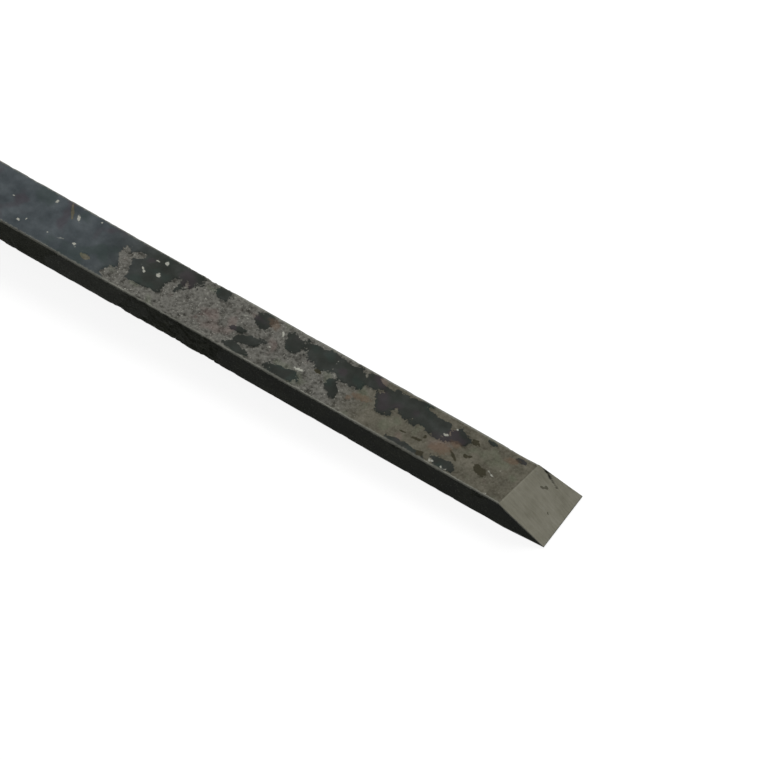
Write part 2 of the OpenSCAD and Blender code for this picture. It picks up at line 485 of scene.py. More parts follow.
def blade_rows():
    """The blade's grid, from the edge to the butt, with each row's share of the bevel beside it.

    On the bevel, x is minus the local bevel length times the share t, and the top rises from the land
    to the heel by the same share. On the bar, x runs on from the heel to the shoulders. The rivet's
    radius grows in a straight line to its head, whose face is domed by one minus the squared share."""
    across = (core_y + 1) / 2
    upward = (core_z + 1) / 2
    heel = -(BEVEL_NEAR + (BEVEL_FAR - BEVEL_NEAR) * across)

    t = np.linspace(0, 1, BEVEL_ROWS)[:, None]
    x_bevel = heel * t
    top_bevel = SOLE_Z + EDGE_LAND + (TOP_AT_BEVEL - SOLE_Z - EDGE_LAND) * t + 0 * across
    r_bevel = BEVEL_CORNER_R * np.minimum(1, 0.2 + 3 * t) + 0 * across

    u = np.linspace(0, 1, BAR_ROWS + 1)[1:, None]
    x_bar = heel + (-BLADE_LENGTH - heel) * u
    top_bar = TOP_AT_BEVEL + (TOP_AT_SHOULDER - TOP_AT_BEVEL) * u + 0 * across
    r_bar = BEVEL_CORNER_R + (CORNER_R - BEVEL_CORNER_R) * ease(u * BLADE_LENGTH, 0.2, 5) + 0 * across

    x = np.concatenate([x_bevel, x_bar])
    top = np.concatenate([top_bevel, top_bar])
    r = np.concatenate([r_bevel, r_bar])
    spread = np.clip(1 + x / SPREAD_LENGTH, 0, 1)
    near = -BAR_HALF + (EDGE_NEAR_Y + BAR_HALF) * spread
    far = BAR_HALF + (EDGE_FAR_Y - BAR_HALF) * spread
    r = np.minimum(r, (top - SOLE_Z) * 0.45)
    y = near + r + across * (far - near - 2 * r) + r * out_y
    z = SOLE_Z + r + upward * (top - SOLE_Z - 2 * r) + r * out_z
    bar = np.stack([x, y, z], -1)

    s = np.linspace(0, 1, TANG_ROWS)[:, None]
    half_y = TANG_HALF[0] + (TANG_END_HALF - TANG_HALF[0]) * s
    half_z = TANG_HALF[1] + (TANG_END_HALF - TANG_HALF[1]) * s
    x_tang = -BLADE_LENGTH + (TANG_END_X + BLADE_LENGTH) * s
    y = core_y * (half_y - TANG_CORNER_R) + TANG_CORNER_R * out_y
    z = core_z * (half_z - TANG_CORNER_R) + TANG_CORNER_R * out_z
    tang = np.stack([x_tang + 0 * y, y, z], -1)

    angle = np.arctan2(tang[-1, :, 1], tang[-1, :, 2])
    flare = np.linspace(0, 1, FLARE_ROWS)
    head = np.linspace(0.96, 0.06, HEAD_ROWS)
    radius = np.concatenate([[RIVET_R], RIVET_R + (RIVET_HEAD_R - RIVET_R) * flare, RIVET_HEAD_R * head])
    depth = np.concatenate([[TANG_END_X], BUTT_X + RIVET_HEAD_DEPTH * (1 - flare),
                            BUTT_X + RIVET_SUNK - RIVET_DOME * (1 - head ** 2)])
    rivet = np.stack([depth[:, None] + 0 * angle, radius[:, None] * np.sin(angle),
                      radius[:, None] * np.cos(angle)], -1)
    grid = np.concatenate([bar, tang, rivet])
    share = np.concatenate([t[:, 0], np.full(len(grid) - BEVEL_ROWS, 2.0)])
    return grid, share[:, None] + 0 * across


blade_grid, bevel_share = blade_rows()
print("blade grid:", blade_grid.shape)

# %% [markdown]
# ## Reading the blade's face
# The forge scale is whole and bluish near the grip. From there towards the edge it has flaked off,
# first along the near side, then almost everywhere, and close to the bevel the bare steel is worn
# smooth and brown. Islands of dark scale are left between. None of this is random on the real tool, so
# the big patches are placed as ellipses, and noise only frays their outlines.
#
# Each row below is a patch: x, y, half length, half width, and its turn in degrees.

# %% Patches placed one by one
SCALE_ISLANDS = [
    (-110.0, 6.3, 2.4, 2.2, 0), (-96.0, 5.2, 2.7, 3.0, 20), (-95.5, -2.6, 4.0, 1.6, 20),
    (-101.0, -1.2, 2.8, 0.9, 15), (-98.0, -6.4, 3.8, 1.3, 0), (-85.8, 3.2, 3.6, 1.9, -50),
    (-83.5, -6.0, 5.0, 1.8, 5), (-77.0, 4.2, 6.0, 3.4, -5), (-67.5, 3.9, 5.4, 3.2, 0),
    (-70.0, -2.5, 3.2, 1.6, -50), (-61.0, 5.6, 3.4, 2.3, 0), (-55.5, 1.2, 3.4, 3.2, -50),
    (-48.5, 4.4, 7.5, 3.6, -4), (-40.5, 3.2, 5.2, 3.3, -12), (-33.5, 3.4, 3.6, 2.2, -20),
    (-33.0, -6.2, 4.2, 1.7, 0), (-43.5, -7.2, 5.6, 1.1, 0), (-16.2, 6.2, 1.7, 0.7, 0),
    (-25.2, 6.7, 1.4, 0.6, 0)]
BARE_BAYS = [
    (-137.0, 0.0, 5.2, 1.9, -62), (-134.8, 3.6, 2.6, 1.0, 25), (-138.0, -5.5, 2.6, 2.6, 0),
    (-122.6, -0.6, 4.2, 1.5, 80), (-157.0, 5.0, 2.7, 0.5, -60), (-146.5, -4.8, 1.4, 0.8, 0),
    (-69.0, 7.2, 2.0, 0.9, 0), (-57.5, 6.9, 2.8, 1.1, -8), (-40.0, 6.9, 5.0, 1.2, 0),
    (-78.5, 7.3, 2.4, 0.8, 0), (-50.5, 7.6, 2.0, 0.7, 0)]
DARK_STAINS = [
    (-24.2, -2.1, 3.1, 1.15, -22), (-28.6, -0.3, 1.9, 0.6, 20), (-42.3, -3.3, 1.6, 0.45, 8),
    (-41.2, -1.6, 0.9, 0.5, -60), (-8.3, 4.4, 0.6, 0.3, 30), (-7.5, 5.3, 0.4, 0.3, 0),
    (-3.8, 0.5, 0.5, 0.25, -40), (-47.0, -3.4, 0.9, 0.35, 0), (-31.8, -2.4, 1.7, 0.5, -35),
    (-75.6, -0.4, 1.2, 0.45, -5), (-29.0, 4.4, 1.1, 0.9, 0), (-39.8, -6.6, 1.2, 1.0, 0)]
RUST_SPOTS = [
    (-61.5, -0.6, 3.0, 1.1, 8), (-64.6, -2.6, 0.9, 0.8, 0), (-18.2, 5.0, 2.2, 1.1, 12),
    (-35.8, -2.4, 3.2, 1.9, 20), (-93.0, 5.6, 2.2, 1.5, -20), (-33.0, 1.0, 1.8, 1.2, 0)]
BRIGHT_CHIPS = [
    (-173.0, 0.7, 0.45, 0.35, 0), (-167.7, -5.0, 0.45, 0.4, 0), (-166.0, -3.5, 0.4, 0.35, 0),
    (-162.3, 5.7, 0.6, 0.35, 70), (-159.0, -4.0, 0.4, 0.35, 0), (-155.2, -3.7, 0.8, 0.4, 30),
    (-150.7, -3.2, 0.9, 0.7, -45), (-148.5, 6.8, 0.45, 0.35, 0), (-154.6, 4.4, 1.5, 0.4, -60),
    (-127.1, 1.3, 0.9, 0.7, 0), (-127.3, 5.2, 0.5, 0.8, 0), (-129.7, 5.0, 0.6, 0.4, 0),
    (-131.4, 0.6, 1.5, 0.35, -40), (-89.5, 4.2, 1.3, 0.3, -60), (-90.5, -1.2, 0.9, 0.4, 20),
    (-80.2, -2.5, 1.0, 0.5, 10), (-72.8, 4.6, 0.4, 0.9, 0), (-18.6, -7.2, 0.7, 0.6, 0),
    (-20.6, -1.6, 1.3, 0.3, -28), (-19.2, 0.7, 0.4, 0.35, 0), (-35.3, 5.2, 0.4, 0.4, 0),
    (-36.0, -6.8, 0.7, 0.6, 0), (-32.0, -7.1, 0.9, 0.5, 0), (-36.8, 2.0, 0.7, 0.3, 0),
    (-7.3, 6.9, 0.5, 0.4, 0), (-11.1, 5.9, 0.4, 0.3, 0), (-5.2, 0.6, 0.4, 0.3, 0),
    (-7.9, 8.5, 0.7, 0.3, -15)]


def patches(x, y, spots):
    """The highest of 1 - (distance from a spot's middle, in half widths), over all the spots."""
    best = np.full(x.shape, -9.0)
    for middle_x, middle_y, long, wide, turn in spots:
        c, s = math.cos(math.radians(turn)), math.sin(math.radians(turn))
        run = ((x - middle_x) * c + (y - middle_y) * s) / long
        rise = ((y - middle_y) * c - (x - middle_x) * s) / wide
        best = np.maximum(best, 1 - np.hypot(run, rise))
    return best


placed = [SCALE_ISLANDS, BARE_BAYS, DARK_STAINS, RUST_SPOTS, BRIGHT_CHIPS]
print("patches of each kind placed by eye:", [len(spots) for spots in placed])

# %% [markdown]
# The same words then become numbers on every point: how surely scale is left, how pitted the bare
# steel is, and how close the point is to an arris, where handling keeps it bright and a thin painted
# highlight runs along it. The whole scale ends at a line across the top, drawn through a few points.
# Elsewhere on the bar nothing of the kind is known, so there hills alone say where the scale has gone.

# %% What each point of the blade looks like
SCALE_LINE_Y = (-8.0, -4.6, -3.6, 1.0, 4.0, 8.0)
SCALE_LINE_X = (-141.0, -139.0, -126.0, -120.0, -117.0, -115.0)
SCALE_LINE_FADE = 6.0
PITTED_FROM, PITTED_TO = -140.0, -62.0
ARRIS_REACH = 0.45
GASH = ((-10.4, 8.8), (-5.6, 7.5))
GASH_WIDTH = 0.65


def segment_gap(x, y, ends):
    """Distance from each point to the straight line between two ends, and how far along it that is."""
    (ax, ay), (bx, by) = ends
    run = np.array([bx - ax, by - ay])
    t = np.clip(((x - ax) * run[0] + (y - ay) * run[1]) / (run @ run), 0, 1)
    return np.hypot(x - ax - t * run[0], y - ay - t * run[1]), t


def from_side(values):
    """How far each point is from the lowest or the highest value of its own row."""
    return np.minimum(values - values.min(1, keepdims=True), values.max(1, keepdims=True) - values)


x, y, z = blade_grid[..., 0], blade_grid[..., 1], blade_grid[..., 2]
on_top = np.broadcast_to(ease(out_z, 0.55, 0.9), x.shape)
on_bevel = (bevel_share <= 1.0) * on_top
fray = 0.6 * (rugged(blade_grid, 3.8, 11, 4) - 0.5) + 0.6 * (rugged(blade_grid, 1.3, 17, 3) - 0.5)
whole = (np.interp(y, SCALE_LINE_Y, SCALE_LINE_X) - x) / SCALE_LINE_FADE
islands = patches(x, y, SCALE_ISLANDS) * 1.3
bays = patches(x, y, BARE_BAYS) * 1.5
scale_top = np.minimum(np.maximum(whole, islands), -bays) + 1.7 * fray
scale_elsewhere = 5.0 * (rugged(blade_grid, 16.0, 31, 3) - 0.40) + 1.2 * fray
scale_left = np.clip(np.where(on_top > 0.5, scale_top, scale_elsewhere), -1.5, 1.5)
pitted = ease(x, PITTED_FROM - 8, PITTED_FROM) * (1 - 0.75 * ease(x, PITTED_TO - 10, PITTED_TO + 6))
arris = np.exp(-np.maximum(from_side(y), from_side(z)) / ARRIS_REACH)
gash_gap, gash_run = segment_gap(x, y, GASH)
ragged = 0.7 * (rugged(blade_grid, 0.9, 71, 2) - 0.5)
gash = on_bevel * (1 - ease(gash_gap + ragged + 0.25 * gash_run, 0.1, GASH_WIDTH))
print("share of the top still under scale: %.2f" % (scale_left[on_top > 0.5] > 0).mean())

# %% [markdown]
# The relief is real too: scale stands a little above the bare steel, pits go down somewhat deeper, the
# hammer left slow waves, and the arrises have small nicks. The bevel was ground after the forging, so
# it has only the grinder's faint waves and the gash.

# %% Hammer, flakes, pits and nicks
WAVE_HEIGHT = 0.20
SCALE_THICKNESS = 0.14
PIT_DEPTH = 0.22
CRUMB_HEIGHT = 0.16
NICK_DEPTH = 0.16
GRINDING_WAVE = 0.05
GASH_DEPTH = 0.45

forged_run = ease(-x, 14.5, 22.0) * (x > -BLADE_LENGTH + 0.5)
ground_run = (bevel_share <= 1.0) * ease(-x, 0.5, 3.0)
crumbling = pitted * ease(-scale_left, -0.1, 0.3)
waves = rugged(blade_grid, 17.0, 3, 2) - 0.5
flakes = ease(scale_left, -0.12, 0.12)
pits = crumbling * peaks(blade_grid, 1.3, 21, 0.56, 0.74)
crumbs = crumbling * peaks(blade_grid, 1.0, 23, 0.60, 0.78)
nicks = arris * peaks(blade_grid, 2.2, 41, 0.58, 0.80)
grinding = rugged(blade_grid, 5.0, 51, 2) - 0.5
forged = (WAVE_HEIGHT * waves + SCALE_THICKNESS * flakes - PIT_DEPTH * pits + CRUMB_HEIGHT * crumbs
          - NICK_DEPTH * nicks)
relief = forged_run * forged + ground_run * GRINDING_WAVE * grinding - GASH_DEPTH * gash
blade_grid = blade_grid + relief[..., None] * normals_of(blade_grid)
print("relief from %.2f to %.2f mm" % (relief.min(), relief.max()))

# %% [markdown]
# The finish knows the blade only by numbers stored on its points. Stain, rust and chip say how deep a
# point lies inside a patch, frayed by noise, and hold on the top alone. Grit says where crumbs stand
# and pits sink. The others were worked out above and are stored as they are.

# %% The marks that the finish will read
stain_field = patches(x, y, DARK_STAINS) * 1.2 + 2.2 * fray
rust_field = patches(x, y, RUST_SPOTS) * 1.1 + 1.0 * fray
chip_field = patches(x, y, BRIGHT_CHIPS) + 2.6 * (rugged(blade_grid, 0.8, 61, 2) - 0.55)
blade_marks = {
    "scale_left": scale_left, "top": on_top, "bevel": on_bevel, "pitted": pitted, "arris": arris,
    "gash": gash, "grit": crumbs - pits,
    "stain": np.clip(stain_field * on_top, -1, 1), "rust": np.clip(rust_field * on_top, -1, 1),
    "chip": np.clip(np.where(on_top > 0.5, chip_field, -1), -1, 1)}
blade = skin("forged_blade", blade_grid, blade_marks)

# %% [markdown]
# ## The finish of forged steel
# Fire leaves a skin of dark iron oxide. Where it is whole it is blue-grey, lighter towards the grip, and
# that soft lightness is partly a sheen painted into the colour. Where it has flaked off, the steel under
# it is grey and crumbly, with glints painted on as bright specks, and towards the bevel handling has
# worn it to a smooth tan. The marks on the mesh say which is where, and fine noise sharpens each border
# to less than the distance between two points of the mesh. First come the two coats of the top face:
# the scale, and the steel under it.

# %% Scale and bare steel
BLUE_SHEEN_UP_TO, BLACK_FROM = -150.0, -128.0


def black_scale(f, x_mm, cloud, hue):
    """Near-black oxide, bluer and lighter towards the grip, partly a painted sheen, with a breath of
    violet or green where hue says so.
    """
    black = f.ramp(cloud, (0.32, 38, 41, 37), (0.52, 46, 49, 45), (0.70, 56, 59, 56))
    # The lighter blue towards the grip is partly a painted sheen.
    blue_sheen = f.ramp(cloud, (0.32, 55, 61, 64), (0.52, 67, 73, 76), (0.72, 80, 86, 89))
    colour = f.mix(1 - f.step(x_mm, BLUE_SHEEN_UP_TO, BLACK_FROM), black, blue_sheen)
    colour = f.mix(f.step(hue, 0.56, 0.68) * 0.45, colour, (62, 52, 58))
    return f.mix((1 - f.step(hue, 0.32, 0.44)) * 0.45, colour, (44, 56, 51))


def bare_steel(f, cloud, grain, glints_and_scratches, hue):
    """Grey crumbs with bright specks where the steel is pitted, the specks being painted glints of
    broken edges, and smooth tan where it is worn.
    """
    crumbs = grain * 0.72 + cloud * 0.28 + f.worn("grit") * 0.09
    crumbly = f.ramp(crumbs, (0.28, 44, 44, 39), (0.40, 70, 69, 64), (0.52, 89, 88, 83),
                     (0.66, 100, 99, 93), (0.80, 140, 140, 132))
    crumbly = f.mix(glints_and_scratches * 0.6, crumbly, (150, 149, 141))
    tan = f.ramp(cloud * 0.7 + grain * 0.3,
                 (0.34, 66, 63, 52), (0.50, 79, 76, 64), (0.66, 92, 88, 76))
    colour = f.mix(f.worn("pitted"), tan, crumbly)
    colour = f.mix(f.step(hue, 0.60, 0.72) * 0.35, colour, (104, 88, 84))
    return f.mix((1 - f.step(hue, 0.30, 0.40)) * 0.35, colour, (84, 90, 74))


print("scale turns from blue to black between x = %g and %g" % (BLUE_SHEEN_UP_TO, BLACK_FROM))

# %% [markdown]
# The flanks are painted darker than the top, and that darkness is painted shade. It deepens from dark
# grey near the grip to nearly black, with fine specks where something has scratched them.

# %% Flanks, and the whole finish
GREY_UP_TO, DARKEST_SHADE_FROM = -160.0, -90.0


def shaded_flank(f, x_mm, mottled, glints_and_scratches):
    """Painted shade: dark grey near the grip and nearly black from there on, with pale scratch specks.
    """
    darkest_shade = f.ramp(mottled, (0.34, 9, 12, 7), (0.52, 18, 21, 14), (0.70, 34, 36, 28))
    grey = f.ramp(mottled, (0.34, 24, 26, 20), (0.52, 36, 38, 32), (0.70, 56, 58, 50))
    colour = f.mix(f.step(x_mm, GREY_UP_TO, DARKEST_SHADE_FROM), grey, darkest_shade)
    return f.mix(glints_and_scratches * 0.5, colour, (86, 88, 80))


def forged_steel():
    """Whole scale, flaked steel, worn steel and ground steel, mixed by the marks on the mesh."""
    f = Finish("forged_steel")
    place = f.in_tool_mm()
    x_mm = f.add("ShaderNodeSeparateXYZ", {}, {0: place}, out="X")
    fine = f.noise(place, 0.75, 3.0, 0.65)
    grain = f.noise(place, 0.8, 3.0, 0.6)
    # Small bright specks: painted glints on the pitted top, and scratches on the flanks.
    glints_and_scratches = f.step(f.noise(place, 0.42, 1.0), 0.66, 0.73)
    cloud = f.noise(place, 5.0, 3.0, 0.55)
    hue = f.noise(f.stretch(place, (1.0, 1.0, 2.0)), 6.5, 1.0)
    streaks = f.noise(f.stretch(place, (0.12, 1.0, 0.12)), 0.6, 3.0, 0.6)
    top, bevel = f.worn("top"), f.worn("bevel")

    border = (fine - 0.5) * 1.5
    scale = f.step(f.worn("scale_left") + border, -0.07, 0.07)
    rust = f.step(f.worn("rust") + border, -0.3, 0.5)
    stain = f.step(f.worn("stain") + border, -0.05, 0.15)
    chip = f.step(f.worn("chip") + border * 1.1, 0.0, 0.5)
    # Near the arrises: steel rubbed bright by handling, with a painted highlight along each edge.
    rubbed = f.step(f.worn("arris") + (fine - 0.5) * 0.7, 0.22, 0.62)

    ground = f.ramp(streaks * 0.5 + cloud * 0.5,
                    (0.34, 116, 114, 101), (0.50, 127, 125, 112), (0.66, 136, 134, 122))
    colour = f.mix(scale, bare_steel(f, cloud, grain, glints_and_scratches, hue), black_scale(f, x_mm, cloud, hue))
    colour = f.mix(rust * 0.55, colour, (88, 72, 58))
    colour = f.mix(bevel, colour, ground)
    colour = f.mix(stain * (1 - bevel * 0.4), colour, (50, 48, 37))
    colour = f.mix(chip * (1 - bevel * 0.5), colour, (128, 128, 120))
    colour = f.mix(f.worn("gash"), colour, (22, 22, 18))
    # Every face but the top takes this painted shade.
    flank = shaded_flank(f, x_mm, cloud * 0.5 + grain * 0.5, glints_and_scratches)
    colour = f.mix((1 - top) * 0.96, colour, flank)
    # The pale arris line is partly rubbed steel and partly a painted highlight.
    colour = f.mix(rubbed * 0.75 * (1 - bevel), colour, (124, 124, 116))

    bare = 1 - scale
    metallic = (bare * 0.2 + chip * 0.1) * top * (1 - bevel) + bevel * 0.5
    rough = 0.44 + bare * 0.14 + (fine - 0.5) * 0.2 - chip * 0.1
    height = grain * (0.25 + bare * 0.75) + fine * 0.3
    bumped = f.bump(height * (1 - bevel) + streaks * bevel * 0.25, 0.12)
    return f.done(base_color=colour, metallic=metallic, roughness=rough, normal=bumped,
                  specular_ior_level=0.02)


dressed(blade, forged_steel(), "forged_steel", "blade")

# %% [markdown]
# ## Turned and pierced pieces
# Everything behind the shoulders is a ring or a turned form: a profile carried once around the axis.
# The profile's corners are rounded first, because no filed or turned edge is perfectly sharp, and its
# last side is the bore, so each piece is a closed ring with a real hole for the tang.

# %% Where each piece of the stack starts
COLLAR_THICK = 5.0
FRONT_LEATHER = 3.0
GRIP_LENGTH = 130.0
REAR_LEATHER = 2.5
PLATE_THICK = 5.0
COLLAR_X = -BLADE_LENGTH
FRONT_LEATHER_X = COLLAR_X - COLLAR_THICK
HANDLE_X = FRONT_LEATHER_X - FRONT_LEATHER
REAR_LEATHER_X = HANDLE_X - GRIP_LENGTH
PLATE_X = REAR_LEATHER_X - REAR_LEATHER
TANG_HOLE = (5.1, 3.85)
print("the plate's struck face is at x = %g, and the butt at %g" % (PLATE_X - PLATE_THICK, BUTT_X))

# %% A profile with soft corners, carried around the axis


def soft_profile(corners, radius, step):
    """Closed outline (x, r) with each corner rounded by (1-t)^2 a + 2t(1-t) b + t^2 c, then filled."""
    corners = np.asarray(corners, float)
    before, after = np.roll(corners, 1, 0) - corners, np.roll(corners, -1, 0) - corners
    t = np.linspace(0, 1, 6)[:, None]
    points = []
    for corner, back_side, front_side in zip(corners, before, after):
        start = corner + back_side * min(0.45, radius / np.hypot(*back_side))
        stop = corner + front_side * min(0.45, radius / np.hypot(*front_side))
        points.append((1 - t) ** 2 * start + 2 * t * (1 - t) * corner + t ** 2 * stop)
    points = np.concatenate(points)
    filled = []
    for start, stop in zip(points, np.roll(points, -1, 0)):
        count = max(1, int(round(np.hypot(*(stop - start)) / step)))
        filled.append(start + (stop - start) * np.arange(count)[:, None] / count)
    return np.concatenate(filled)


def around(count):
    """Angles in even steps once around the axis."""
    return np.linspace(0, 2 * np.pi, count, endpoint=False)


def turn(x, radius, angle):
    """Points at that distance from the axis: y = r sin(angle) and z = r cos(angle)."""
    x = np.broadcast_to(x, radius.shape)
    return np.stack([x, radius * np.sin(angle), radius * np.cos(angle)], -1)


def oblong(angle, half_y, half_z):
    """Distance from the axis to the side of a rectangle: the nearer of its two pairs of sides."""
    return np.minimum(half_y / np.maximum(np.abs(np.sin(angle)), 1e-6),
                      half_z / np.maximum(np.abs(np.cos(angle)), 1e-6))


def battered(grid, depth, cell, seed, knocks=0.0):
    """Moves a rolled skin in and out by hills, and knocks it in where a second set of hills is high."""
    shift = depth * (rugged(grid, cell, seed, 3) - 0.5)
    shift = shift - knocks * peaks(grid, cell * 0.35, seed + 9, 0.62, 0.82)
    return grid + shift[..., None] * normals_of(grid, True)


# %% [markdown]
# ## Bolster collar
# The collar spreads the blow from the shoulders over the end of the wood. A smith cuts it from thick
# plate, files eight flats and turns off the front corners, so the front is round and the rest is an
# octagon. Both are distances from the axis, and the smaller one wins, which draws the curved corners.

# %% Collar shape
COLLAR_FLATS = 24.0
COLLAR_FRONT_R = 11.59
COLLAR_CHAMFER = 0.25
SHARPNESS = 60


def octagon(angle):
    """Eight-sided radius with slightly soft corners: half the flats over a high-power sum of cosines."""
    total = sum(np.abs(np.cos(angle - math.radians(45 * k))) ** SHARPNESS for k in range(4))
    return COLLAR_FLATS / 2 / total ** (1 / SHARPNESS)


def collar_grid():
    """Front face outwards, sides back, rear face inwards and bore forwards, as shares from 0 to 1."""
    angle = around(288)
    hole = oblong(angle, *TANG_HOLE)
    front = np.minimum(octagon(angle), COLLAR_FRONT_R)
    rear = octagon(angle) - COLLAR_CHAMFER
    out = np.linspace(0, 1, 14)[:, None]
    side_x = -np.concatenate([np.linspace(0.02, 1.5, 12),
                              np.linspace(1.7, COLLAR_THICK - COLLAR_CHAMFER, 14)])[:, None]
    side_r = np.minimum(octagon(angle), COLLAR_FRONT_R + 0.1 - side_x)
    rows = [turn(COLLAR_X + 0 * out, hole + (front - 0.1 - hole) * out, angle),
            turn(COLLAR_X + side_x, side_r, angle),
            turn(FRONT_LEATHER_X + 0 * out, rear + (hole - rear) * out, angle),
            turn(FRONT_LEATHER_X + COLLAR_THICK * out[1:-1], hole + 0 * out[1:-1], angle)]
    return np.concatenate(rows)


collar = skin("octagon_collar", battered(collar_grid(), depth=0.16, cell=4.0, seed=101, knocks=0.18),
              roll=True)

# %% [markdown]
# ## Blackened and polished steel
# The collar, ferrule and hoop were heated and oiled, which blackens steel, and hands and hammers have
# rubbed the colour off their corners. A corner is where the surface bulges, and the Geometry node's
# pointiness isn't used, so the rubbed places come from noise and from distance marks on the mesh.
# The strike plate and the pins are the same finish with less and less black left.

# %% Steel of the fittings


def fitting_steel(name, black, rubbed, bright, wear, metallic, cell):
    """Dark oxide clouds over bright steel: wear is the height of noise above which steel shows."""
    f = Finish(name)
    place = f.in_tool_mm()
    cloud = f.noise(place, cell, 4.0, 0.6)
    fine = f.noise(place, 0.6, 3.0, 0.7)
    turned_lines = f.noise(f.stretch(place, (3.0, 0.15, 0.15)), 0.8, 2.0)
    mixed = cloud * 0.6 + fine * 0.4 + f.worn("wear") * 0.3
    worn_off = f.step(mixed, wear, wear + 0.09)
    dark = f.ramp(cloud, (0.3, *black), (0.7, *rubbed))
    light = f.ramp(turned_lines, (0.35, *rubbed), (0.6, *bright))
    pits = 1 - f.step(fine, 0.30, 0.38)
    colour = f.mix(worn_off, dark, light)
    colour = f.mix(pits * 0.6, colour, (74, 56, 42))
    height = fine * 0.5 + turned_lines * 0.3 + cloud * 0.2
    return f.done(base_color=colour, metallic=worn_off * metallic, specular_ior_level=0.3,
                  roughness=0.50 - worn_off * 0.14 + (fine - 0.5) * 0.2, normal=f.bump(height, 0.08))


blackened = fitting_steel("blackened_steel", (42, 43, 43), (74, 74, 72), (142, 140, 134),
                          wear=0.60, metallic=0.7, cell=4.0)
struck = fitting_steel("worn_steel", (70, 69, 66), (104, 102, 98), (168, 166, 160),
                       wear=0.46, metallic=0.8, cell=3.0)
bright = fitting_steel("bright_steel", (120, 119, 115), (150, 149, 144), (186, 184, 178),
                       wear=0.40, metallic=0.85, cell=1.5)
dressed(collar, blackened, "blackened_steel", "bolster_collar")

# %% [markdown]
# ## Leather washers
# A leather washer on each side of the wood takes the shock. Squeezed between steel and wood it bulges
# a little, and its cut edge shows the layers of the hide. The bulge is a half sine over its thickness.

# %% Leather
FRONT_LEATHER_R = 12.5
REAR_LEATHER_R = 13.5
REAR_HOLE_R = 3.35
BULGE = 0.45


def washer_grid(x, thick, radius, hole, angle):
    """A ring in rows: front face, rim, rear face and bore. The rim bulges by a half sine.

    Share is how far back a row lies, and outward is how far it is from the hole to the rim."""
    face, edge, bore = 14, 11, 5
    share = np.concatenate([np.zeros(face), np.linspace(0, 1, edge + 2)[1:-1], np.ones(face),
                            np.linspace(1, 0, bore + 2)[1:-1]])
    outward = np.concatenate([np.linspace(0, 1, face), np.ones(edge), np.linspace(1, 0, face),
                              np.zeros(bore)])
    rim = radius - 0.25 + BULGE * np.sin(np.pi * share)
    distance = hole + (rim[:, None] - hole) * outward[:, None]
    return turn(x - thick * share[:, None], distance, angle)


def oiled_leather():
    """Brown hide, darker with oil in patches, and thin layers across its edge."""
    f = Finish("oiled_leather")
    place = f.in_tool_mm()
    cloud = f.noise(place, 5.0, 3.0, 0.6)
    layers = f.noise(f.stretch(place, (4.0, 0.35, 0.35)), 1.0, 3.0, 0.7)
    pores = f.add("ShaderNodeTexVoronoi", {"feature": "DISTANCE_TO_EDGE"},
                  {"Vector": place, "Scale": 1.6})
    colour = f.ramp(cloud * 0.5 + layers * 0.5,
                    (0.34, 52, 33, 21), (0.50, 88, 56, 34), (0.68, 124, 84, 53))
    height = layers * 0.8 + f.step(pores, 0.0, 0.12) * 0.3
    return f.done(base_color=colour, roughness=0.52 + (cloud - 0.5) * 0.3, specular_ior_level=0.4,
                  normal=f.bump(height, 0.25))


leather = oiled_leather()
rim = around(192)
front_ring = washer_grid(FRONT_LEATHER_X, FRONT_LEATHER, FRONT_LEATHER_R, oblong(rim, *TANG_HOLE), rim)
rear_ring = washer_grid(REAR_LEATHER_X, REAR_LEATHER, REAR_LEATHER_R, REAR_HOLE_R + 0 * rim, rim)
for name, ring, seed, node in (("front_washer", front_ring, 111, "bolster_leather"),
                               ("rear_washer", rear_ring, 121, "butt_leather")):
    washer = skin(name, battered(ring, depth=0.18, cell=4.0, seed=seed), roll=True)
    dressed(washer, leather, "oiled_leather", node)

# %% [markdown]
# ## Ferrule and pins
# The ferrule is a piece of steel tube driven on the nose of the grip, and a brad on each side holds it.
# Filing the brads flush leaves a shallow dimple around each low domed head.

# %% Ferrule and pins
FERRULE_R = 12.5
FERRULE_BORE_R = 10.95
FERRULE_LENGTH = 18.0
PIN_X = HANDLE_X - 9.0
WEAR_REACH = 0.7


def ring_marks(profile, corners):
    """1 at the nearest of some worn corners and less away from it: exp(-distance/reach)."""
    gap = np.min([np.hypot(profile[:, 0] - cx, profile[:, 1] - cr) for cx, cr in corners], axis=0)
    return np.exp(-gap / WEAR_REACH)[:, None]


def turned_piece(name, corners, radius, step, columns, worn_corners, batter, dimples=None):
    """Rounds the profile, carries it around, batters it and makes its skin with a wear mark.

    Radius and step are soft_profile's, and batter holds what battered needs."""
    profile = soft_profile(corners, radius, step)
    grid = turn(profile[:, :1], profile[:, 1:] + np.zeros(columns), around(columns))
    if dimples is not None:
        grid = dimples(grid)
    grid = battered(grid, **batter)
    wear = ring_marks(profile, worn_corners) + np.zeros(columns)
    return skin(name, grid, {"wear": wear}, roll=True)


def pin_dimples(grid):
    """Sinks the ferrule around each pin by 0.25 mm times one minus the squared distance in widths."""
    gap = np.hypot(grid[..., 0] - PIN_X, grid[..., 2]) / 1.7
    outside = np.hypot(grid[..., 1], grid[..., 2]) > FERRULE_R - 0.6
    sink = 0.25 * np.clip(1 - gap ** 2, 0, 1) * outside
    return grid - np.stack([0 * sink, sink * np.sign(grid[..., 1]), 0 * sink], -1)


